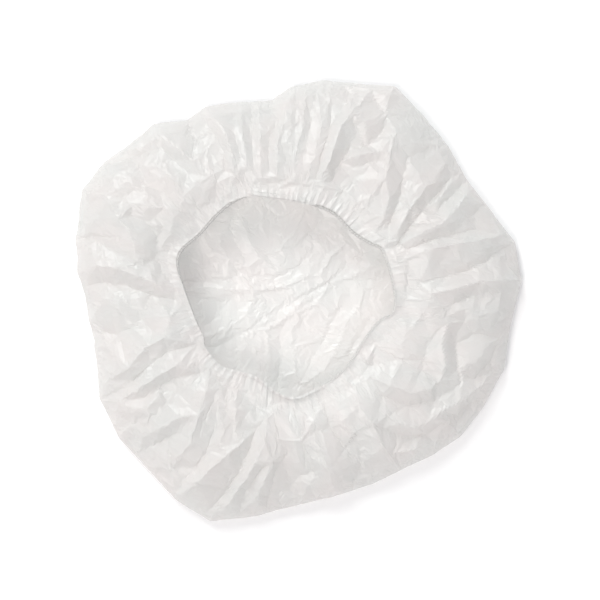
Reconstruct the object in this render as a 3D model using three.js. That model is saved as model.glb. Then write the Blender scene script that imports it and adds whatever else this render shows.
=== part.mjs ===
// A disposable shower cap of thin white film, lying on its crown with its gathered mouth up.
// Millimetres and degrees, +Z up. The origin is on the table, under the middle of the lying cap,
// and angles run anticlockwise from +X, seen from above.

import * as THREE from "three";

// Driving dimensions.
const WALL = 1; // the film's wall
const ELASTIC_RADIUS = 1.3; // the elastic is a round cord in section
const ELASTIC_SIDES = 6;
const HEM_GAP = 0.4; // the elastic's clearance in the turned edge of the film
const HEM_TURNS = [20, -30, -80, -130]; // the turned edge round the elastic: 0 is outwards, -90 is below
const RIM_HEIGHT = 30; // the elastic's mean height over the table
const MOUTH_CENTRE = new THREE.Vector3(-9, 2, 0); // the elastic lies a little off the cap's middle
const PLEATS = 40; // main gathers at the mouth
const COLUMNS_PER_PLEAT = 4; // crest, side, trough, side
const COLUMNS = PLEATS * COLUMNS_PER_PLEAT;
const PLEAT_HEIGHT = 2.3; // half the rise from trough to crest, beside the elastic
const PLEAT_REACH = 0.45; // the share of the skirt that the gathers run out into
const FOLD_RUN_IN = 0.3; // the share of the skirt over which a fold rises from the outer edge
const FOLD_AT_RIM = 0.35; // the share of a fold's height that is left at the elastic

// The outer edge in plan: a corner where a fold meets it, and straight film between corners.
const OUTLINE = [
  { angle: 5, radius: 145 },
  { angle: 15, radius: 145 },
  { angle: 36, radius: 134 },
  { angle: 46, radius: 139 },
  { angle: 57, radius: 145 },
  { angle: 66, radius: 152 },
  { angle: 84, radius: 144 },
  { angle: 92, radius: 139 },
  { angle: 98, radius: 132 },
  { angle: 110, radius: 136 },
  { angle: 116, radius: 139 },
  { angle: 122, radius: 138 },
  { angle: 130, radius: 148 },
  { angle: 145, radius: 155 },
  { angle: 153, radius: 159 },
  { angle: 164, radius: 151 },
  { angle: 173, radius: 146 },
  { angle: 180, radius: 140 },
  { angle: 191, radius: 137 },
  { angle: 198, radius: 139 },
  { angle: 206, radius: 145 },
  { angle: 217, radius: 148 },
  { angle: 228, radius: 148 },
  { angle: 238, radius: 153 },
  { angle: 248, radius: 155 },
  { angle: 258, radius: 144 },
  { angle: 279, radius: 130 },
  { angle: 291, radius: 129 },
  { angle: 311, radius: 133 },
  { angle: 320, radius: 137 },
  { angle: 329, radius: 138 },
  { angle: 341, radius: 140 },
  { angle: 353, radius: 138 },
];

// The mouth, round its own centre: a smooth loop. lift is the elastic's height over its mean.
const MOUTH = [
  { angle: 4, radius: 70, lift: 2 },
  { angle: 25, radius: 69, lift: 1 },
  { angle: 33, radius: 64, lift: 0 },
  { angle: 44, radius: 60, lift: 0 },
  { angle: 60, radius: 62, lift: 1 },
  { angle: 73, radius: 62, lift: 3 },
  { angle: 86, radius: 63, lift: 4 },
  { angle: 108, radius: 69, lift: 3 },
  { angle: 120, radius: 70, lift: 0 },
  { angle: 132, radius: 69, lift: -3 },
  { angle: 144, radius: 69, lift: -5 },
  { angle: 156, radius: 74, lift: -5 },
  { angle: 164, radius: 73, lift: -4 },
  { angle: 174, radius: 67, lift: -2 },
  { angle: 193, radius: 61, lift: 0 },
  { angle: 206, radius: 60, lift: 1 },
  { angle: 212, radius: 62, lift: 1 },
  { angle: 226, radius: 62, lift: 1 },
  { angle: 237, radius: 58, lift: 1 },
  { angle: 250, radius: 56, lift: 1 },
  { angle: 265, radius: 63, lift: 0 },
  { angle: 276, radius: 66, lift: -1 },
  { angle: 289, radius: 63, lift: 0 },
  { angle: 302, radius: 61, lift: 1 },
  { angle: 317, radius: 59, lift: 2 },
  { angle: 334, radius: 58, lift: 3 },
  { angle: 346, radius: 63, lift: 3 },
  { angle: 352, radius: 70, lift: 3 },
];

// The film's section from the crown to the mouth. inset runs from 0 at the outer edge to 1 at the
// elastic, and height is the middle of the wall's.
const SECTION = [
  { station: "crown edge", inset: 0.3, height: WALL / 2 },
  { station: "lift-off", inset: 0.12, height: 1.5 },
  { station: "outer fold, low", inset: 0.02, height: 5 },
  { station: "outer fold", inset: 0, height: 10 },
  { station: "shoulder", inset: 0.07, height: 19 },
  { station: "outer skirt", inset: 0.22, height: 28.5 },
  { station: "upper skirt", inset: 0.4, height: 35 },
  { station: "crest", inset: 0.58, height: 37 },
  { station: "inner skirt", inset: 0.75, height: 35.5 },
  { station: "gathers", inset: 0.89, height: 32.5 },
];
const CROWN_STATIONS = 2; // the first stations lie on the table, clear of every fold

// The folds across the skirt, ridges and valleys in turn, each from an angle at the outer edge to an
// angle at the elastic. rise is its height over the plain skirt, or its depth below it.
const FOLDS = [
  { edge: 4, rim: 0, rise: 6 },
  { edge: 10, rim: 8, rise: -5 },
  { edge: 14, rim: 15, rise: 4 },
  { edge: 21, rim: 20, rise: -6 },
  { edge: 32, rim: 24, rise: 3 },
  { edge: 38, rim: 28, rise: -8 },
  { edge: 60, rim: 38, rise: 6 },
  { edge: 66, rim: 58, rise: -6 },
  { edge: 71, rim: 70, rise: 7 },
  { edge: 85, rim: 85, rise: 0 },
  { edge: 94, rim: 97, rise: 4 },
  { edge: 103, rim: 106, rise: -5 },
  { edge: 114, rim: 114, rise: 5 },
  { edge: 121, rim: 118, rise: -4 },
  { edge: 128, rim: 122, rise: 5 },
  { edge: 141, rim: 129, rise: -4 },
  { edge: 150, rim: 138, rise: 4 },
  { edge: 157, rim: 150, rise: -4 },
  { edge: 165, rim: 163, rise: 4 },
  { edge: 174, rim: 178, rise: -7 },
  { edge: 186, rim: 194, rise: 6 },
  { edge: 202, rim: 210, rise: -7 },
  { edge: 209, rim: 218, rise: 5 },
  { edge: 218, rim: 225, rise: -5 },
  { edge: 231, rim: 233, rise: 5 },
  { edge: 240, rim: 243, rise: -5 },
  { edge: 247, rim: 254, rise: 5 },
  { edge: 254, rim: 261, rise: -5 },
  { edge: 263, rim: 267, rise: 4 },
  { edge: 271, rim: 276, rise: -4 },
  { edge: 279, rim: 287, rise: 5 },
  { edge: 294, rim: 294, rise: -8 },
  { edge: 316, rim: 302, rise: 5 },
  { edge: 328, rim: 309, rise: -6 },
  { edge: 343, rim: 328, rise: 8 },
  { edge: 357, rim: 350, rise: -5 },
];

const FULL_TURN = 360;
const LOOP_STEPS = 720; // short straight steps that stand for the mouth's smooth loop
const { clamp, degToRad, lerp, radToDeg, smoothstep } = THREE.MathUtils;
const UP = new THREE.Vector3(0, 0, 1);

// The two neighbours of an angle in a table that closes on itself, and the share of the way between.
function neighbours(table, angle, angleOf) {
  const after = table.findIndex((row) => angleOf(row) > angle);
  const next = after < 0 ? 0 : after;
  const low = table[(next + table.length - 1) % table.length];
  const high = table[next];
  const span = (angleOf(high) - angleOf(low) + FULL_TURN) % FULL_TURN;
  const along = (angle - angleOf(low) + FULL_TURN) % FULL_TURN;
  return { low, high, span, along, share: along / span };
}

// A column of a table at an angle, eased from row to row, level at each row.
function eased(table, angle, column, angleOf) {
  const { low, high, share } = neighbours(table, angle, angleOf);
  return lerp(low[column], high[column], smoothstep(share, 0, 1));
}

function direction(angle) {
  return new THREE.Vector2(Math.cos(degToRad(angle)), Math.sin(degToRad(angle)));
}

// The outer edge in plan: the straight line between two corners, in polar form.
function outerEdge(angle) {
  const { low, high, span, along } = neighbours(OUTLINE, angle, (row) => row.angle);
  const fromLow = low.radius * Math.sin(degToRad(along));
  const fromHigh = high.radius * Math.sin(degToRad(span - along));
  const radius = (low.radius * high.radius * Math.sin(degToRad(span))) / (fromLow + fromHigh);
  return direction(angle).multiplyScalar(radius - WALL / 2);
}

// The elastic's centre line: a smooth loop through the rows of the mouth, cut where it crosses an angle.
const angleOfPoint = (point) => (radToDeg(Math.atan2(point.y, point.x)) + FULL_TURN) % FULL_TURN;
const mouthRows = MOUTH.map(({ angle, radius, lift }) => {
  const plan = direction(angle).multiplyScalar(radius);
  return new THREE.Vector3(plan.x, plan.y, RIM_HEIGHT + lift);
});
const mouthLoop = new THREE.CatmullRomCurve3(mouthRows, true)
  .getPoints(LOOP_STEPS)
  .slice(1)
  .sort((a, b) => angleOfPoint(a) - angleOfPoint(b));

function elasticCentre(angle) {
  const { low, high, share } = neighbours(mouthLoop, angle, angleOfPoint);
  return low.clone().lerp(high, share).add(MOUTH_CENTRE);
}

// How far the main folds raise or lower the skirt.
function foldRise(angle, inset) {
  const angleOf = (row) => lerp(row.edge, row.rim, inset);
  const runIn = smoothstep(inset, 0, FOLD_RUN_IN);
  return runIn * lerp(1, FOLD_AT_RIM, inset * inset) * eased(FOLDS, angle, "rise", angleOf);
}

// How far the gathers raise or lower the skirt: a zigzag that grows towards the elastic, no two alike.
function pleatRise(column, inset) {
  const zigzag = [1, 0, -1, 0][column % COLUMNS_PER_PLEAT];
  const unevenness = 0.75 + 0.25 * Math.sin(column * column);
  return PLEAT_HEIGHT * unevenness * zigzag * clamp((inset - 1 + PLEAT_REACH) / PLEAT_REACH, 0, 1);
}

// The middle of the film's wall in one column, from the crown's edge to the turned edge at the mouth.
function filmColumn(column) {
  const angle = (column * FULL_TURN) / COLUMNS;
  const edge = outerEdge(angle);
  const elastic = elasticCentre(angle);
  const rim = new THREE.Vector2(elastic.x, elastic.y);
  const skirt = SECTION.map(({ inset, height }, station) => {
    const plan = edge.clone().lerp(rim, inset);
    if (station < CROWN_STATIONS) return new THREE.Vector3(plan.x, plan.y, height);
    const lift = inset * inset * (elastic.z - RIM_HEIGHT);
    const rise = foldRise(angle, inset) + pleatRise(column, inset);
    return new THREE.Vector3(plan.x, plan.y, height + lift + rise);
  });
  const outwards = direction(angle);
  const turnRadius = ELASTIC_RADIUS + HEM_GAP + WALL / 2;
  const hem = HEM_TURNS.map((turn) => {
    const across = turnRadius * Math.cos(degToRad(turn));
    const up = turnRadius * Math.sin(degToRad(turn));
    return elastic.clone().add(new THREE.Vector3(across * outwards.x, across * outwards.y, up));
  });
  return [...skirt, ...hem];
}

// The outward normal of the film at each point of its columns. The crown's edge looks straight down.
function filmNormals(columns) {
  return columns.map((points, c) => {
    const before = columns[(c + columns.length - 1) % columns.length];
    const after = columns[(c + 1) % columns.length];
    return points.map((_, p) => {
      if (p === 0) return UP.clone().negate();
      const along = points[Math.min(p + 1, points.length - 1)].clone().sub(points[p - 1]);
      return after[p].clone().sub(before[p]).cross(along).normalize();
    });
  });
}

// A mesh geometry from points and the index triples of its triangles.
function geometryOf(points, triangles) {
  const geometry = new THREE.BufferGeometry().setFromPoints(points);
  geometry.setIndex(triangles.flat());
  geometry.computeVertexNormals();
  return geometry;
}

// The two triangles between two neighbouring columns and two neighbouring rows of a grid.
function quad(a, b, c, d) {
  return [
    [a, b, c],
    [a, c, d],
  ];
}

// The film: an outer and an inner skin that meet at the turned edge, each closed by a fan at the crown.
function filmGeometry() {
  const columns = Array.from({ length: COLUMNS }, (_, column) => filmColumn(column));
  const normals = filmNormals(columns);
  const rows = columns[0].length;
  const skin = (side) =>
    columns.flatMap((points, c) =>
      points.map((point, p) => point.clone().addScaledVector(normals[c][p], (side * WALL) / 2)),
    );
  const crownCentres = [new THREE.Vector3(0, 0, 0), new THREE.Vector3(0, 0, WALL)];
  const points = [...skin(1), ...skin(-1), ...crownCentres];
  const outer = (c, p) => (c % COLUMNS) * rows + p;
  const inner = (c, p) => COLUMNS * rows + outer(c, p);
  const [outerCentre, innerCentre] = [2 * COLUMNS * rows, 2 * COLUMNS * rows + 1];
  const triangles = [];
  for (let c = 0; c < COLUMNS; c++) {
    triangles.push([outerCentre, outer(c + 1, 0), outer(c, 0)]);
    triangles.push([innerCentre, inner(c, 0), inner(c + 1, 0)]);
    for (let p = 0; p < rows - 1; p++) {
      triangles.push(...quad(outer(c, p), outer(c + 1, p), outer(c + 1, p + 1), outer(c, p + 1)));
      triangles.push(...quad(inner(c, p), inner(c, p + 1), inner(c + 1, p + 1), inner(c + 1, p)));
    }
    const last = rows - 1;
    triangles.push(...quad(outer(c, last), outer(c + 1, last), inner(c + 1, last), inner(c, last)));
  }
  return geometryOf(points, triangles);
}

// The elastic: a closed ring with a many-sided section, on its centre line.
function elasticGeometry() {
  const points = [];
  const triangles = [];
  const at = (c, side) => (c % COLUMNS) * ELASTIC_SIDES + (side % ELASTIC_SIDES);
  for (let c = 0; c < COLUMNS; c++) {
    const angle = (c * FULL_TURN) / COLUMNS;
    const centre = elasticCentre(angle);
    const outwards = direction(angle);
    for (let side = 0; side < ELASTIC_SIDES; side++) {
      const turn = degToRad((side * FULL_TURN) / ELASTIC_SIDES);
      const across = ELASTIC_RADIUS * Math.cos(turn);
      const offset = new THREE.Vector3(across * outwards.x, across * outwards.y, ELASTIC_RADIUS * Math.sin(turn));
      points.push(centre.clone().add(offset));
      triangles.push(...quad(at(c, side), at(c + 1, side), at(c + 1, side + 1), at(c, side + 1)));
    }
  }
  return geometryOf(points, triangles);
}

function named(name, geometry, material) {
  const mesh = new THREE.Mesh(geometry, material);
  mesh.name = name;
  return mesh;
}

const whiteFilm = new THREE.MeshStandardMaterial({ color: "#ebeae7", roughness: 0.42, metalness: 0 });
const greyElastic = new THREE.MeshStandardMaterial({ color: "#cdcdcb", roughness: 0.75, metalness: 0 });

const showerCap = new THREE.Group();
showerCap.add(named("film_cap", filmGeometry(), whiteFilm));
showerCap.add(named("elastic_band", elasticGeometry(), greyElastic));

export default showerCap;
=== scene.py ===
import math

import bpy
import numpy as np
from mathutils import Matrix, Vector
from mathutils.bvhtree import BVHTree
from mathutils.geometry import delaunay_2d_cdt


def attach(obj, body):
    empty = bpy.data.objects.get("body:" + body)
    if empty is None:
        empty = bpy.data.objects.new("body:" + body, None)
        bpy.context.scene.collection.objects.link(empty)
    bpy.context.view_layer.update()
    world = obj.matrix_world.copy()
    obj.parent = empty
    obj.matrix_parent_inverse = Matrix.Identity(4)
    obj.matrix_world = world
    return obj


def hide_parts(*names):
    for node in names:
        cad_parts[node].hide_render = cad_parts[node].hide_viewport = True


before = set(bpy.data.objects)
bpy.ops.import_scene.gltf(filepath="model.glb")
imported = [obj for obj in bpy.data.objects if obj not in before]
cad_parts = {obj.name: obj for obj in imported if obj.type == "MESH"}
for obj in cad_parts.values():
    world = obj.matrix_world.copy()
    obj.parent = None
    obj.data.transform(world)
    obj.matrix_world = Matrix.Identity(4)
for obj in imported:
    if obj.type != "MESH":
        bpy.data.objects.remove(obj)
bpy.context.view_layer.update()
bpy.ops.object.select_all(action="DESELECT")

# The film cap: one disc of thin white polyethylene film. Its middle lies on the table as the crown, it
# turns over at the outer edge, and its skirt comes back over the top to the mouth, where the elastic
# draws it into gathers. Sizes are in millimetres from the middle of the cap, read off.
MM = 0.001
FILM_THICKNESS = 0.25
FLAT_RADIUS = 230
CROWN_HEIGHT = 5
RIM_HEIGHT = 30
MOUTH_CENTRE = (-9, 2)
ELASTIC_RADIUS = 1.1
HEM_RADIUS = ELASTIC_RADIUS + 0.8
HEM_START = 45
COLUMNS = 720
RINGS = 140
MOUTH_STEPS = 24
SECTION_STEPS = 8
CREASE_STEPS = 9
SIDESTEP = 0.3

# Corners of the outer edge, with straight film between them: angle in degrees, distance.
OUTLINE = np.array([
    (5, 145), (15, 145), (36, 134), (46, 139), (57, 145), (66, 152), (84, 144), (92, 139), (98, 132),
    (110, 136), (116, 139), (122, 138), (130, 148), (145, 155), (153, 159), (164, 151), (173, 146),
    (180, 140), (191, 137), (198, 139), (206, 145), (217, 148), (228, 148), (238, 153), (248, 155),
    (258, 144), (279, 130), (291, 129), (311, 133), (320, 137), (329, 138), (341, 140), (353, 138),
])
# The elastic's line round the middle of the mouth: angle, distance, lift over the rim's mean height.
MOUTH = np.array([
    (4, 70, 2), (25, 69, 1), (33, 64, 0), (44, 60, 0), (60, 62, 1), (73, 62, 3), (86, 63, 4),
    (108, 69, 3), (120, 70, 0), (132, 69, -3), (144, 69, -5), (156, 74, -5), (164, 73, -4),
    (174, 67, -2), (193, 61, 0), (206, 60, 1), (212, 62, 1), (226, 62, 1), (237, 58, 1), (250, 56, 1),
    (265, 63, 0), (276, 66, -1), (289, 63, 0), (302, 61, 1), (317, 59, 2), (334, 58, 3), (346, 63, 3),
    (352, 70, 3),
])
# The film's run from the crown to the rim: share of the way in from the outer edge, height, and the share
# of the rim's lift that it takes.
SECTION = np.array([
    (0.30, 3.5, 0), (0.12, 2.5, 0), (0.03, 3, 0), (0, 6, 0), (0.05, 13, 0), (0.14, 19, 0.05),
    (0.28, 24.5, 0.15), (0.48, 29, 0.3), (0.70, 32, 0.55), (0.89, 31, 0.8),
])
# How far the film's edge laps over the elastic: angle round the mouth, degrees over its section.
LAP = np.array([
    (0, 45), (22, 40), (30, 15), (70, 15), (80, 110), (104, 110), (114, 50), (122, 12), (158, 12),
    (172, 50), (190, 65), (250, 85), (285, 85), (300, 45),
])
# How strongly the film is gathered at the rim: angle round the mouth, share.
GATHERS = np.array([
    (0, 0.4), (30, 0.8), (75, 1), (125, 0.9), (140, 0.5), (200, 0.5), (220, 0.7), (255, 1), (285, 0.9),
    (305, 0.4),
])
# Creases of the skirt: rise over the smooth film, which is negative in a valley, then the corners of the
# crease's line.
SKIRT_CREASES = [
    (2.2, [(-60, 124), (-53, 115), (-47, 105), (-44, 96), (-42, 80)]),
    (-1.8, [(-63, 118), (-55, 107), (-49, 95), (-48, 84)]),
    (-0.8, [(-44, 123), (-42, 107), (-38, 92)]),
    (0.8, [(-38, 125), (-37, 107), (-34, 88)]),
    (-2.1, [(-32, 127), (-31, 106), (-30, 84)]),
    (1.5, [(-27, 128), (-26, 104), (-25, 78)]),
    (-1.2, [(-20, 127), (-15, 117), (-20, 104), (-20, 84)]),
    (2.6, [(-14, 133), (-9, 126), (-9, 117), (-13, 108), (-15, 96), (-15, 80)]),
    (-0.5, [(-3, 133), (-3, 112), (-8, 92), (-10, 78)]),
    (0.5, [(4, 136), (2, 112), (-3, 92), (-5, 77)]),
    (-1.7, [(11, 138), (7, 115), (3, 92), (0, 75)]),
    (1.2, [(21, 138), (14, 112), (9, 94), (5, 76)]),
    (-0.6, [(33, 134), (20, 112), (15, 95), (10, 77)]),
    (4.4, [(46, 136), (32, 119), (26, 111), (22, 98), (17, 86), (14, 75)]),
    (-4, [(56, 118), (53, 108), (43, 99), (33, 98), (26, 88), (21, 77)]),
    (0.5, [(51, 96), (41, 94), (32, 92)]),
    (-2.8, [(54, 90), (44, 88), (36, 85), (34, 77), (28, 70)]),
    (3.7, [(58, 94), (55, 78), (57, 66), (54, 53), (48, 43)]),
    (1.4, [(37, 63), (45, 66), (52, 67)]),
    (2.2, [(64, 99), (75, 101), (87, 99)]),
    (-1.4, [(70, 92), (67, 78), (64, 64), (58, 50)]),
    (3.7, [(94, 88), (82, 73), (72, 60), (64, 47), (57, 37)]),
    (-3.7, [(98, 80), (90, 70), (80, 59), (71, 48), (62, 35)]),
    (-0.5, [(104, 82), (97, 74), (90, 66)]),
    (-3.2, [(109, 78), (100, 69), (88, 57), (82, 50)]),
    (3.2, [(114, 74), (106, 66), (99, 58), (92, 50), (80, 44), (67, 37)]),
    (-2.6, [(120, 62), (113, 55), (104, 50)]),
    (-3.2, [(125, 54), (114, 46), (99, 42), (86, 39), (70, 33)]),
    (2.2, [(131, 42), (116, 38), (102, 36), (86, 33), (68, 27)]),
    (-4.4, [(140, 37), (128, 31), (118, 24), (108, 19), (96, 16), (78, 11)]),
    (4, [(146, 12), (130, 13), (116, 12), (102, 8), (84, 4)]),
    (-2.2, [(116, 3), (107, 2), (98, -3)]),
    (3.2, [(130, 5), (127, -7), (123, -16)]),
    (2.6, [(106, -5), (115, -10), (123, -16)]),
    (1.4, [(63, -8), (80, -8), (94, -10)]),
    (-2.2, [(106, -14), (113, -22), (122, -23)]),
    (4.3, [(95, -15), (91, -27), (94, -41), (91, -51)]),
    (3.4, [(89, -53), (84, -57), (72, -60), (58, -55), (46, -50)]),
    (-3, [(103, -18), (100, -29), (102, -44)]),
    (-2.6, [(98, -58), (86, -65), (70, -68), (54, -62)]),
    (1.7, [(50, -23), (64, -31), (80, -39)]),
    (-1.1, [(48, -30), (64, -38), (78, -45)]),
    (1.4, [(56, -15), (68, -22), (82, -28)]),
    (2.8, [(122, -28), (116, -37), (108, -44)]),
    (-2.6, [(127, -31), (122, -41), (113, -50)]),
    (3.2, [(129, -47), (114, -58), (103, -66), (91, -72)]),
    (-3.7, [(122, -61), (109, -68), (101, -75), (92, -80)]),
    (3.2, [(57, -75), (65, -80), (73, -82), (83, -78)]),
    (-3.2, [(54, -82), (63, -88), (72, -90), (82, -87)]),
    (2.2, [(62, -99), (74, -97), (88, -94)]),
    (2.8, [(28, -58), (38, -68), (47, -80), (54, -95), (60, -105)]),
    (-3.2, [(16, -68), (19, -82), (29, -96), (40, -107), (48, -115)]),
    (2.6, [(9, -86), (14, -98), (19, -110), (22, -124)]),
    (-3.2, [(9, -112), (0, -115), (-7, -124), (-12, -133)]),
    (2.2, [(-10, -91), (1, -91), (9, -86)]),
    (-3.2, [(-8, -99), (-13, -106), (-17, -116), (-20, -127), (-22, -138)]),
    (2.2, [(-15, -90), (-18, -105), (-23, -117), (-29, -130)]),
    (-2.8, [(-24, -108), (-34, -123), (-39, -138)]),
    (2.8, [(-21, -76), (-23, -92), (-29, -105), (-35, -115), (-44, -129)]),
    (-3.7, [(-28, -70), (-29, -84), (-34, -99), (-41, -113), (-48, -125), (-57, -135)]),
    (4, [(-38, -93), (-47, -100), (-59, -110), (-67, -119), (-80, -127)]),
    (-2.8, [(-53, -70), (-56, -86), (-60, -97), (-67, -108), (-75, -116)]),
    (2.8, [(-58, -44), (-60, -58), (-65, -74), (-71, -92), (-83, -108)]),
    (-1.4, [(-46, -57), (-48, -71), (-49, -84)]),
    (1.4, [(-40, -57), (-41, -70), (-42, -84)]),
    (2.8, [(-71, -69), (-79, -76), (-89, -82), (-101, -88)]),
    (-2.6, [(-77, -83), (-85, -89), (-95, -94)]),
    (-2.6, [(-70, -56), (-77, -61), (-86, -66)]),
    (2.6, [(-118, -73), (-110, -71), (-99, -69), (-91, -62)]),
    (4, [(-67, -18), (-88, -25), (-97, -29), (-105, -37), (-110, -44), (-124, -52)]),
    (-3.7, [(-66, -28), (-84, -33), (-97, -42), (-107, -51), (-120, -60)]),
    (2.8, [(-65, -40), (-80, -42), (-91, -48), (-103, -56), (-116, -65)]),
    (-2.8, [(-64, -47), (-80, -50), (-91, -56), (-103, -64)]),
    (-2.8, [(-113, 0), (-103, -12), (-95, -20)]),
    (2.8, [(-76, -2), (-83, -10), (-89, -18)]),
    (2.8, [(-135, -11), (-126, 1), (-116, -6)]),
    (-2.8, [(-130, -20), (-118, -22), (-108, -17)]),
    (3.2, [(-146, 18), (-131, 22), (-117, 20), (-104, 15), (-92, 10), (-80, 8)]),
    (-3.7, [(-140, 9), (-126, 11), (-111, 9), (-96, 3), (-80, 0)]),
    (2.8, [(-145, 40), (-137, 33), (-127, 28)]),
    (-2.2, [(-140, 47), (-131, 38), (-121, 32)]),
    (3.4, [(-104, 43), (-106, 32), (-108, 24)]),
    (-3, [(-93, 52), (-92, 41), (-92, 30), (-89, 18)]),
    (2.6, [(-127, 54), (-117, 52), (-111, 46), (-104, 43)]),
    (-2.2, [(-109, 54), (-99, 50), (-88, 47)]),
    (2.6, [(-115, 66), (-108, 62), (-98, 60), (-88, 59)]),
    (2.8, [(-134, 69), (-124, 67), (-118, 71), (-121, 78), (-116, 84)]),
    (-2.2, [(-142, 72), (-137, 62), (-139, 52)]),
    (2.6, [(-127, 91), (-117, 96), (-107, 99), (-97, 102)]),
    (-2.6, [(-134, 80), (-123, 87), (-110, 92), (-97, 95)]),
    (1.7, [(-93, 77), (-85, 80), (-80, 73), (-76, 66)]),
    (-1.4, [(-100, 74), (-90, 70), (-84, 65)]),
    (1.4, [(-77, 58), (-82, 50), (-84, 42)]),
    (2.8, [(-98, 111), (-88, 105), (-78, 97), (-69, 89)]),
    (-2.2, [(-90, 98), (-82, 90), (-73, 82)]),
    (1.4, [(-66, 84), (-59, 80), (-54, 76)]),
    (-1.4, [(-76, 114), (-69, 105), (-60, 97)]),
]
# Creases of the crown where it shows in the mouth, in the same columns.
CROWN_CREASES = [
    (-0.9, [(6, 4), (-12, -5), (-24, -12), (-32, -19)]),
    (0.4, [(10, -3), (-8, -11), (-22, -20)]),
    (-0.8, [(-78, 12), (-58, 13), (-47, 13), (-40, 18)]),
    (0.8, [(-76, 6), (-50, 7), (-30, 6)]),
    (-0.8, [(-64, 0), (-48, -1), (-32, -2)]),
    (0.8, [(-60, -24), (-45, -17), (-36, -11)]),
    (-0.7, [(-56, -31), (-42, -24), (-36, -26)]),
    (0.8, [(-21, -27), (-20, -38), (-22, -52)]),
    (-0.7, [(-13, -22), (-13, -36), (-14, -52)]),
    (0.8, [(-5, -18), (-5, -32), (-3, -48)]),
    (0.8, [(15, 30), (4, 16), (-8, 10)]),
    (-0.8, [(8, 33), (-2, 22), (-14, 16)]),
    (0.8, [(29, 37), (20, 29), (12, 16)]),
    (-0.8, [(40, 30), (30, 23), (20, 12)]),
    (0.8, [(60, 24), (46, 22), (34, 15)]),
    (-0.6, [(34, 5), (24, -8), (17, -24), (8, -39)]),
    (0.5, [(40, -2), (31, -14), (25, -30), (16, -46)]),
    (-0.8, [(48, -10), (40, -22), (32, -36)]),
    (0.8, [(-38, 54), (-35, 40), (-26, 28)]),
    (-0.8, [(-46, 50), (-43, 38), (-36, 29)]),
    (0.8, [(-58, 32), (-47, 28), (-36, 22)]),
    (0.8, [(2, 58), (-4, 45), (-13, 34)]),
    (-0.8, [(14, 54), (8, 44), (-4, 34)]),
]

angles = np.arange(COLUMNS) * 360 / COLUMNS


def direction(degrees):
    return np.stack([np.cos(np.radians(degrees)), np.sin(np.radians(degrees))], -1)


def round_the_mouth(table, at):
    return np.interp(at, table[:, 0], table[:, 1], period=360)


def outer_edge(at):
    after = np.searchsorted(OUTLINE[:, 0], at, side="right") % len(OUTLINE)
    low, high = OUTLINE[after - 1].T, OUTLINE[after].T
    span = np.radians((high[0] - low[0]) % 360)
    along = np.radians((at - low[0]) % 360)
    radius = low[1] * high[1] * np.sin(span) / (low[1] * np.sin(along) + high[1] * np.sin(span - along))
    return direction(at) * radius[:, None]


def smooth_curve(p0, p1, p2, p3, share):
    return p1 + ((p2 - p0) * share + (2 * p0 - 5 * p1 + 4 * p2 - p3) * share**2
                 + (3 * (p1 - p2) + p3 - p0) * share**3) / 2


def mouth_line(at):
    rows = np.column_stack([direction(MOUTH[:, 0]) * MOUTH[:, 1:2], RIM_HEIGHT + MOUTH[:, 2]])
    share = np.linspace(0, 1, MOUTH_STEPS, endpoint=False)[:, None, None]
    loop = smooth_curve(np.roll(rows, 1, 0), rows, np.roll(rows, -1, 0), np.roll(rows, -2, 0), share)
    loop = loop.swapaxes(0, 1).reshape(-1, 3)
    turned = np.degrees(np.arctan2(loop[:, 1], loop[:, 0])) % 360
    line = np.column_stack([np.interp(at, turned, axis, period=360) for axis in loop.T])
    return line + (*MOUTH_CENTRE, 0)


def sections():
    """The film's section at each angle: the crown's middle, the skirt's rows, the lap over the elastic."""
    edge, rim = outer_edge(angles), mouth_line(angles)
    inset = SECTION[:, :1]
    plan = edge[:, None] * (1 - inset) + rim[:, None, :2] * inset
    height = SECTION[:, 1] + SECTION[:, 2] * (rim[:, 2:] - RIM_HEIGHT)
    skirt = np.concatenate([plan, height[..., None]], 2)
    out = np.column_stack([direction(angles), np.zeros(COLUMNS)])
    lap = round_the_mouth(LAP, angles)[:, None]
    turns = [np.radians(HEM_START + lap * share) for share in (0, 1 / 3, 2 / 3, 1)]
    hem = [rim + HEM_RADIUS * (out * np.cos(turn) + np.sin(turn) * (0, 0, 1)) for turn in turns]
    crown = np.tile((0.0, 0.0, CROWN_HEIGHT), (COLUMNS, 1, 1))
    return np.concatenate([crown, skirt, np.stack(hem, 1)], 1)


def evenly(profile, rows):
    p1, p2 = profile[:, :-1, None], profile[:, 1:, None]
    p0 = np.concatenate([profile[:, :1], profile[:, :-2]], 1)[:, :, None]
    p3 = np.concatenate([profile[:, 2:], profile[:, -1:]], 1)[:, :, None]
    share = np.linspace(0, 1, SECTION_STEPS, endpoint=False)[:, None]
    curve = smooth_curve(p0, p1, p2, p3, share).reshape(len(profile), -1, 3)
    curve = np.concatenate([curve, profile[:, -1:]], 1)
    along = np.linalg.norm(np.diff(curve, axis=1), axis=2).cumsum(1)
    along = np.concatenate([np.zeros((len(profile), 1)), along], 1)
    even = np.linspace(0, 1, rows)
    return np.stack([np.column_stack([np.interp(even, run / run[-1], axis) for axis in line.T])
                     for run, line in zip(along, curve)])


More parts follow.
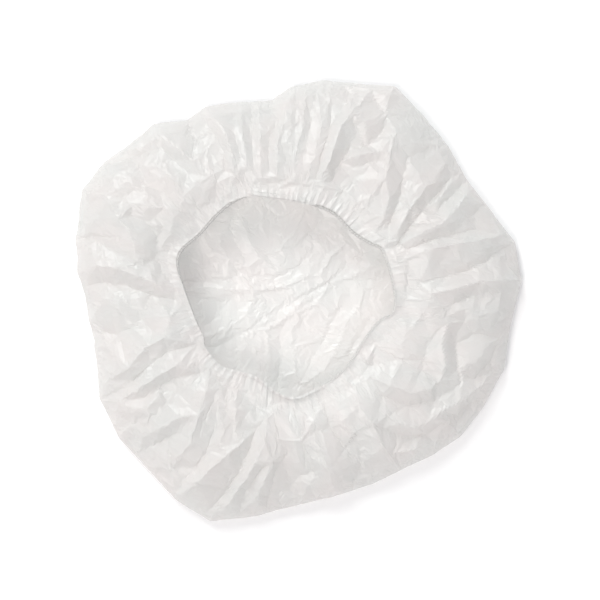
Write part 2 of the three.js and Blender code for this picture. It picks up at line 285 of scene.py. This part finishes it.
# The disc is a mesh of rings: ring 0 is the middle of the crown and ring n has 6 n points. The share of
# the way from the middle to the rim places a point on the film. Points step a little aside, so that no
# row of them shows as a spoke.
smooth = evenly(sections(), RINGS + 1)
outward = np.cross(np.roll(smooth, -1, 0) - np.roll(smooth, 1, 0), np.gradient(smooth, axis=1))
outward[:, 0] = (0, 0, -1)
outward /= np.linalg.norm(outward, axis=2, keepdims=True)
ring_of = np.concatenate([[0], *[np.full(6 * ring, ring) for ring in range(1, RINGS + 1)]])
step_of = np.concatenate([[0], *[np.arange(6 * ring) for ring in range(1, RINGS + 1)]])
uneven = np.random.default_rng(5).uniform(-SIDESTEP, SIDESTEP, len(ring_of))
angle_of = (step_of + uneven) * 60 / np.maximum(ring_of, 1) % 360
share_of = ring_of / RINGS
flat = direction(angle_of) * (share_of * FLAT_RADIUS)[:, None]


def on_film(grid):
    column = angle_of * COLUMNS / 360
    low = np.floor(column).astype(int)
    part = (column - low)[:, None]
    return grid[low % COLUMNS, ring_of] * (1 - part) + grid[(low + 1) % COLUMNS, ring_of] * part


def ring_faces():
    faces = []
    for ring in range(1, RINGS + 1):
        first, first_inner = 1 + 3 * ring * (ring - 1), max(0, 1 + 3 * (ring - 1) * (ring - 2))
        count, count_inner = 6 * ring, max(1, 6 * (ring - 1))
        for side in range(6):
            for step in range(ring):
                a = first + (side * ring + step) % count
                b = first + (side * ring + step + 1) % count
                c = first_inner + (side * (ring - 1) + step) % count_inner
                d = first_inner + (side * (ring - 1) + step + 1) % count_inner
                faces.append((c, b, a))
                if step < ring - 1:
                    faces.append((c, d, b))
    return faces


def along_film(*rows):
    return np.interp(share_of, *np.array(rows).T)


def facets(at, corners, heights, edges):
    """Heights at points of a sheet of flat facets with these corners, and with creases along the edges."""
    far = 4 * FLAT_RADIUS
    corners = [*corners, (-far, -far), (far, -far), (far, far), (-far, far)]
    heights = [*heights, 0, 0, 0, 0]
    points, _, faces, made_of, *_ = delaunay_2d_cdt([Vector(c) for c in corners], edges, [], 0, 1e-4)
    level = [np.mean([heights[k] for k in ends]) if ends else 0 for ends in made_of]
    sheet = BVHTree.FromPolygons([(p.x, p.y, h) for p, h in zip(points, level)], faces)
    return np.array([sheet.ray_cast((x, y, far), (0, 0, -1))[0].z for x, y in at])


def scattered(reach, spacing, rng):
    return rng.uniform(-reach, reach, (int((2 * reach / spacing) ** 2), 2))


def crumples(at, spacing, seed):
    """Random facets, from -1 to 1 high, whose corners lie about spacing apart."""
    rng = np.random.default_rng(seed)
    corners = scattered(np.abs(at).max() + 2 * spacing, spacing, rng)
    return facets(at, corners, rng.uniform(-1, 1, len(corners)), [])


# Half a short crease is this much of its spacing long, and creases and pleats have these shares of the
# full rise.
HALF_LENGTHS = 0.4, 1.2
RISES = 0.4, 1


def short_creases(at, spacing, lean, seed):
    """Short straight creases, from -1 to 1 high, up to lean degrees from the way to the middle."""
    rng = np.random.default_rng(seed)
    reach = np.linalg.norm(at, axis=1).max()
    count = int(math.pi * (reach / spacing) ** 2)
    turn = rng.uniform(0, 360, count)
    middle = direction(turn) * np.sqrt(rng.uniform(0, 1, count))[:, None] * reach
    half = direction(turn + rng.uniform(-lean, lean, count))
    half *= (spacing * rng.uniform(*HALF_LENGTHS, count))[:, None]
    corners = np.stack([middle - half, middle, middle + half], 1).reshape(-1, 2)
    rise = rng.uniform(*RISES, count) * rng.choice([-1, 1], count)
    heights = np.stack([0 * rise, rise, 0 * rise], 1).ravel()
    edges = [(3 * k + end, 3 * k + end + 1) for k in range(count) for end in (0, 1)]
    return facets(at, corners, heights, edges)


def creased(at, creases, slack, seed):
    """Facets that meet along a table of creases, with loose corners up to slack high between them."""
    rng = np.random.default_rng(seed)
    corners, heights, edges, taken = [], [], [], []
    for rise, line in creases:
        edges += [(len(corners) + k, len(corners) + k + 1) for k in range(len(line) - 1)]
        corners += line
        heights += [CREASE_END * rise, *[rise] * (len(line) - 2), CREASE_END * rise]
        for start, end in zip(np.array(line), np.array(line[1:])):
            taken += list(start + (end - start) * np.linspace(0, 1, CREASE_STEPS)[:, None])
    loose = scattered(np.abs(at).max() + 2 * LOOSE_SPACING, LOOSE_SPACING, rng)
    gap = np.linalg.norm(loose[:, None] - np.array(taken), axis=2).min(1)
    loose = loose[gap > LOOSE_SPACING / 2]
    return facets(at, [*corners, *loose], [*heights, *rng.uniform(-slack, slack, len(loose))], edges)


# Ranges of the width of a pleat's side and of a pleat's length.
PLEAT_SIDES = 1, 3.2
PLEAT_LENGTHS = 5, 18


def gathers(seed):
    """Small pleats at the rim, a ridge every 3 to 5 mm, each with its own height and length."""
    rng = np.random.default_rng(seed)
    rim = mouth_line(np.append(angles, 0))
    rim_length = np.linalg.norm(np.diff(rim, axis=0), axis=1).sum()
    edges = rng.uniform(*PLEAT_SIDES, int(rim_length)).cumsum()
    edges = edges[edges < rim_length]
    edges = edges[:len(edges) // 2 * 2] * 360 / rim_length
    sides = np.where(np.arange(len(edges)) % 2, 1, -1) * rng.uniform(*RISES, len(edges))
    lengths = rng.uniform(*PLEAT_LENGTHS, len(edges))
    from_rim = (1 - share_of) * FLAT_RADIUS
    length = np.interp(angle_of, edges, lengths, period=360)
    wave = np.interp(angle_of, edges, sides, period=360)
    return wave * round_the_mouth(GATHERS, angle_of) * np.clip(1.1 - from_rim / length, 0, 1)


# The crumples, as heights over the smooth film: short creases and fine facets all over, broad facets on
# the skirt, drawn out towards the rim, then the gathers and the creases of the tables. They fade out at
# the outer fold and at the elastic, and in calm patches the film has fewer of them.
SKIRT_FROM = 0.60
DRAWN_OUT = 0.35
SHORT_RISE, SHORT_SPACING, SHORT_LEAN = 0.38, 13, 60
FINE_RISE, FINE_SPACING = 0.1, 5
BROAD_RISE, BROAD_SPACING = 1.7, 26
GATHER_RISE = 0.85
CALM_SPACING, CALM_MIDDLE, CALM_SWING = 32, 0.5, 0.9
CALM_SHARE = 0.7
LOOSE_SPACING = 13
SKIRT_SLACK = 1.9
CROWN_SLACK = 0.35
CREASE_END = 0.4
points = on_film(smooth)
plan = points[:, :2]
drawn = np.where(share_of < SKIRT_FROM, share_of, SKIRT_FROM + (share_of - SKIRT_FROM) * DRAWN_OUT)
drawn = direction(angle_of) * (drawn * FLAT_RADIUS)[:, None]
calm = np.clip(CALM_MIDDLE + CALM_SWING * crumples(flat, CALM_SPACING, seed=11), 0, 1)
short = short_creases(flat, SHORT_SPACING, SHORT_LEAN, seed=2)
push = SHORT_RISE * short * along_film((0, 0.4), (0.5, 0.4), (0.62, 0.75), (0.975, 0.7), (0.992, 0))
fine = crumples(flat, FINE_SPACING, seed=8)
push += FINE_RISE * fine * along_film((0.5, 0.5), (0.62, 1), (0.975, 1), (0.992, 0))
push *= 1 - CALM_SHARE * calm
broad = crumples(drawn, BROAD_SPACING, seed=3)
push += BROAD_RISE * broad * along_film((0.6, 0), (0.7, 1), (0.975, 0.9), (0.992, 0))
push += GATHER_RISE * gathers(seed=4) * along_film((0.985, 1), (1, 0.6))
on_skirt = along_film((0.615, 0), (0.64, 1), (0.975, 1), (0.992, 0))
on_crown = along_film((0.5, 1), (0.55, 0))
points[:, 2] += creased(plan, SKIRT_CREASES, SKIRT_SLACK, seed=6) * on_skirt
points[:, 2] += creased(plan, CROWN_CREASES, CROWN_SLACK, seed=7) * on_crown
points += on_film(outward) * push[:, None]
points[:, 2] = np.maximum(points[:, 2], FILM_THICKNESS)

mesh = bpy.data.meshes.new("film_cap_crumpled")
mesh.from_pydata((points * MM).tolist(), [], ring_faces())
film = bpy.data.objects.new("film_cap_crumpled", mesh)
bpy.context.scene.collection.objects.link(film)
bpy.context.view_layer.objects.active = film
film.select_set(True)
corner = np.empty(len(mesh.loops), dtype=int)
mesh.loops.foreach_get("vertex_index", corner)
mesh.uv_layers.new(name="flat").uv.foreach_set("vector", (flat[corner] * MM).ravel())

# The film is a little longer than this shape in all directions, so as cloth it buckles into its creases.
# The outer fold and the rim hold it, and the rest is held loosely.
FILM_SPARE = 0.018
BUCKLING_FRAMES = 16
CALM_GRIP = 0.2
held = film.vertex_groups.new(name="held")
grip = along_film((0, 0.12), (0.45, 0.12), (0.6, 0.5), (0.62, 1), (0.64, 0.5), (0.7, 0.05),
                  (0.96, 0.05), (0.985, 1))
grip = np.maximum(grip, CALM_GRIP * calm)
for point, weight in enumerate(grip):
    held.add([point], float(weight), "REPLACE")
buckle = film.modifiers.new("buckle", "CLOTH")
cloth = buckle.settings
cloth.quality = 8
cloth.mass = 0.1
cloth.tension_stiffness = cloth.compression_stiffness = 80
cloth.shear_stiffness = 40
cloth.bending_stiffness = 0.02
cloth.tension_damping = cloth.compression_damping = cloth.shear_damping = 5
cloth.bending_damping = 0.5
cloth.shrink_min = -FILM_SPARE
cloth.vertex_group_mass = held.name
cloth.effector_weights.gravity = 0
buckle.collision_settings.use_collision = False
for step in range(1, BUCKLING_FRAMES + 1):
    bpy.context.scene.frame_set(step)
bpy.ops.object.modifier_apply(modifier=buckle.name)
bpy.context.scene.frame_set(1)

# What sank into the table is laid on it, and what sank into the elastic is laid round it. Thinning then
# leaves flat facets between the sharpest creases, as in stiff crinkled film, and the wall gets its
# thickness.
RIM_FROM = 0.95
ELASTIC_ROOM = ELASTIC_RADIUS + 0.6
THINNED_TO = 0.65
place = np.empty(3 * len(film.data.vertices))
film.data.vertices.foreach_get("co", place)
place = place.reshape(-1, 3) / MM
place[:, 2] = np.maximum(place[:, 2], FILM_THICKNESS)
elastic_line = mouth_line(np.linspace(0, 360, 4 * COLUMNS, endpoint=False))
for point in np.flatnonzero(share_of > RIM_FROM):
    away = place[point] - elastic_line
    gap = np.linalg.norm(away, axis=1)
    nearest = gap.argmin()
    if gap[nearest] < ELASTIC_ROOM:
        place[point] = elastic_line[nearest] + away[nearest] * ELASTIC_ROOM / gap[nearest]
film.data.vertices.foreach_set("co", (place * MM).ravel())
thin = film.modifiers.new("thin", "DECIMATE")
thin.ratio = THINNED_TO
bpy.ops.object.modifier_apply(modifier=thin.name)
wall = film.modifiers.new("wall", "SOLIDIFY")
wall.thickness = FILM_THICKNESS * MM
wall.offset = 0
bpy.ops.object.modifier_apply(modifier=wall.name)
film.data.shade_flat()


def linear(hex_colour):
    values = [int(hex_colour[at:at + 2], 16) / 255 for at in (1, 3, 5)]
    return (*[v / 12.92 if v <= 0.04045 else ((v + 0.055) / 1.055) ** 2.4 for v in values], 1)


def add_node(tree, kind, inputs, **settings):
    node = tree.nodes.new("ShaderNode" + kind)
    for name, value in settings.items():
        setattr(node, name, value)
    for name, value in inputs.items():
        if isinstance(value, bpy.types.NodeSocket):
            tree.links.new(value, node.inputs[name])
        else:
            node.inputs[name].default_value = value
    return node


# Frosted low-density polyethylene film, blown thin: milky white with a soft sheen. Light goes through it,
# part straight and part scattered. Its thickness varies in faint warm and cool patches, which are more or
# less glossy, and handling has left a fine crinkle.
PATCH_WIDTH = 35
CRINKLE_WIDTH = 3
CRINKLE_DEPTH = 0.2
SCATTERED_SHARE = 0.40
STRAIGHT_SHARE = 0.39
film_material = bpy.data.materials.new("frosted polyethylene film")
film_material.use_nodes = True
tree = film_material.node_tree
tree.nodes.clear()
spread = add_node(tree, "UVMap", {}, uv_map="flat").outputs["UV"]
patch = add_node(tree, "TexNoise", {"Vector": spread, "Scale": 1 / (PATCH_WIDTH * MM), "Detail": 2.0})
tint = add_node(tree, "ValToRGB", {"Fac": patch.outputs["Fac"]})
tint.color_ramp.elements[0].position = 0.38
tint.color_ramp.elements[0].color = linear("#F5F5F4")
tint.color_ramp.elements[1].position = 0.62
tint.color_ramp.elements[1].color = linear("#F9F5F4")
gloss = add_node(tree, "MapRange", {
    "Value": patch.outputs["Fac"], "From Min": 0.3, "From Max": 0.7, "To Min": 0.26, "To Max": 0.34})
crinkle = add_node(tree, "TexNoise", {
    "Vector": spread, "Scale": 1 / (CRINKLE_WIDTH * MM), "Detail": 1.0})
bump = add_node(tree, "Bump", {
    "Strength": 0.5, "Distance": CRINKLE_DEPTH * MM, "Height": crinkle.outputs["Fac"]})
sheen = add_node(tree, "BsdfPrincipled", {
    "Base Color": tint.outputs["Color"], "Roughness": gloss.outputs["Result"], "IOR": 1.51,
    "Specular IOR Level": 0.8, "Normal": bump.outputs["Normal"]})
glow = add_node(tree, "BsdfTranslucent", {"Color": linear("#FDFDFB"), "Normal": bump.outputs["Normal"]})
milky = add_node(tree, "MixShader", {
    "Fac": SCATTERED_SHARE, 1: sheen.outputs["BSDF"], 2: glow.outputs["BSDF"]})
straight = add_node(tree, "BsdfTransparent", {"Color": linear("#FFFFFF")})
both = add_node(tree, "MixShader", {
    "Fac": STRAIGHT_SHARE, 1: milky.outputs["Shader"], 2: straight.outputs["BSDF"]})
add_node(tree, "OutputMaterial", {"Surface": both.outputs["Shader"]})
film.data.materials.append(film_material)
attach(film, "root")
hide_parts("film_cap")

# The elastic: a narrow white elastic of yarn over rubber thread, joined into a ring inside the film's
# edge. It has drawn itself together, so it is ruched into short round bulges.
BULGE_LENGTH = 2.2
BULGE_NECK = 0.55
BULGE_SHIFT = 0.3
BULGE_SIZES = 0.86, 1.06
STEPS_PER_BULGE = 8
ELASTIC_SIDES = 10
line_ahead = np.roll(elastic_line, -1, 0)
run = np.linalg.norm(line_ahead - elastic_line, axis=1).cumsum()
bulges = round(run[-1] / BULGE_LENGTH)
rng = np.random.default_rng(9)
bulge_ends = (np.arange(bulges + 1) + np.append(rng.uniform(-BULGE_SHIFT, BULGE_SHIFT, bulges), 0)) / bulges
bulge_ends[-1] = 1 + bulge_ends[0]
bulge_size = rng.uniform(*BULGE_SIZES, bulges)
step = np.arange(bulges * STEPS_PER_BULGE)
part = step % STEPS_PER_BULGE / STEPS_PER_BULGE
at_bulge = step // STEPS_PER_BULGE
along = bulge_ends[at_bulge] * (1 - part) + bulge_ends[at_bulge + 1] * part
along = along * run[-1]
path = np.column_stack([np.interp(along, run, axis, period=run[-1]) for axis in line_ahead.T])
swell = BULGE_NECK + (1 - BULGE_NECK) * np.sqrt(np.sin(math.pi * part))
size = (ELASTIC_RADIUS * bulge_size[at_bulge] * swell)[:, None, None]
forward = np.roll(path, -1, 0) - np.roll(path, 1, 0)
across = np.cross(forward, (0, 0, 1))
across /= np.linalg.norm(across, axis=1, keepdims=True)
turn = (np.arange(ELASTIC_SIDES) * 2 * math.pi / ELASTIC_SIDES)[:, None]
tube = path[:, None] + size * (across[:, None] * np.cos(turn) + np.sin(turn) * (0, 0, 1))
number = np.arange(len(path) * ELASTIC_SIDES).reshape(-1, ELASTIC_SIDES)
ahead = np.roll(number, -1, 0)
quads = np.stack([number, ahead, np.roll(ahead, -1, 1), np.roll(number, -1, 1)], 2).reshape(-1, 4)
mesh = bpy.data.meshes.new("elastic_ruched")
mesh.from_pydata((tube.reshape(-1, 3) * MM).tolist(), [], quads.tolist())
mesh.shade_smooth()
elastic = bpy.data.objects.new("elastic_ruched", mesh)
bpy.context.scene.collection.objects.link(elastic)

# Knitted polyester yarn over rubber: matt and off-white. Its colour follows the yarn's bump: painted shade,
# grey where the bump is low.
YARN_WIDTH = 0.5
YARN_DEPTH = 0.2
elastic_material = bpy.data.materials.new("knitted polyester elastic")
elastic_material.use_nodes = True
tree = elastic_material.node_tree
tree.nodes.clear()
spread = add_node(tree, "TexCoord", {}).outputs["Object"]
yarn = add_node(tree, "TexNoise", {"Vector": spread, "Scale": 1 / (YARN_WIDTH * MM), "Detail": 2.0})
# Painted shade: the same noise as the bump sets the colour, so the yarn's low places are painted grey.
yarn_tone_and_painted_shade = add_node(tree, "ValToRGB", {"Fac": yarn.outputs["Fac"]})
yarn_tone_and_painted_shade.color_ramp.elements[0].position = 0.3
yarn_tone_and_painted_shade.color_ramp.elements[0].color = linear("#BDBCBA")
yarn_tone_and_painted_shade.color_ramp.elements[1].position = 0.7
yarn_tone_and_painted_shade.color_ramp.elements[1].color = linear("#E2E1DE")
bump = add_node(tree, "Bump", {
    "Strength": 0.5, "Distance": YARN_DEPTH * MM, "Height": yarn.outputs["Fac"]})
knit = add_node(tree, "BsdfPrincipled", {
    "Base Color": yarn_tone_and_painted_shade.outputs["Color"], "Roughness": 0.85, "Normal": bump.outputs["Normal"]})
add_node(tree, "OutputMaterial", {"Surface": knit.outputs["BSDF"]})
elastic.data.materials.append(elastic_material)
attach(elastic, "root")
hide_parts("elastic_band")

# The floor: a plain light table of white acrylic, wide enough for every view. It glows a little, so the
# cap throws only a faint shadow.
FLOOR_SIZE = 8
bpy.ops.object.select_all(action="DESELECT")
bpy.ops.mesh.primitive_plane_add(size=FLOOR_SIZE)
floor = bpy.context.object
floor.name = "floor"
floor_material = bpy.data.materials.new("matt white acrylic")
floor_material.use_nodes = True
acrylic = floor_material.node_tree.nodes["Principled BSDF"]
acrylic.inputs["Base Color"].default_value = linear("#F8F8F8")
acrylic.inputs["Roughness"].default_value = 0.9
acrylic.inputs["Specular IOR Level"].default_value = 0
acrylic.inputs["Emission Color"].default_value = linear("#FFFFFF")
acrylic.inputs["Emission Strength"].default_value = 0.085
floor.data.materials.append(floor_material)

# The light: a large lamp from the upper left, a warmer window high on the lower left and a pale room.
world = bpy.data.worlds.new("pale room")
bpy.context.scene.world = world
world.use_nodes = True
world.node_tree.nodes["Background"].inputs["Color"].default_value = linear("#F8F9FD")
world.node_tree.nodes["Background"].inputs["Strength"].default_value = 0.573


def lamp(name, towards, strength, spread, colour):
    light = bpy.data.lights.new(name, "SUN")
    light.energy = strength
    light.angle = math.radians(spread)
    light.color = linear(colour)[:3]
    stand = bpy.data.objects.new(name, light)
    stand.rotation_euler = Vector(towards).to_track_quat("Z", "Y").to_euler()
    bpy.context.scene.collection.objects.link(stand)


lamp("upper left", (-0.33, 0.70, 0.63), 1.5, 30, "#FBFEFC")
lamp("window", (-0.34, -0.40, 0.85), 1.05, 30, "#FFF8F4")
bpy.context.scene.view_settings.view_transform = "Standard"

# The camera: straight above the cap, as far away as its lens needs to take in the whole view.
VIEW_WIDTH = 0.390
VIEW_HEIGHT = 12
LENS = 200
SENSOR = 36
lens = bpy.data.cameras.new("camera")
lens.lens = LENS
lens.sensor_width = SENSOR
camera = bpy.data.objects.new("camera", lens)
camera.location = (0, 0, VIEW_HEIGHT * MM + VIEW_WIDTH * LENS / SENSOR)
bpy.context.scene.collection.objects.link(camera)
bpy.context.scene.camera = camera
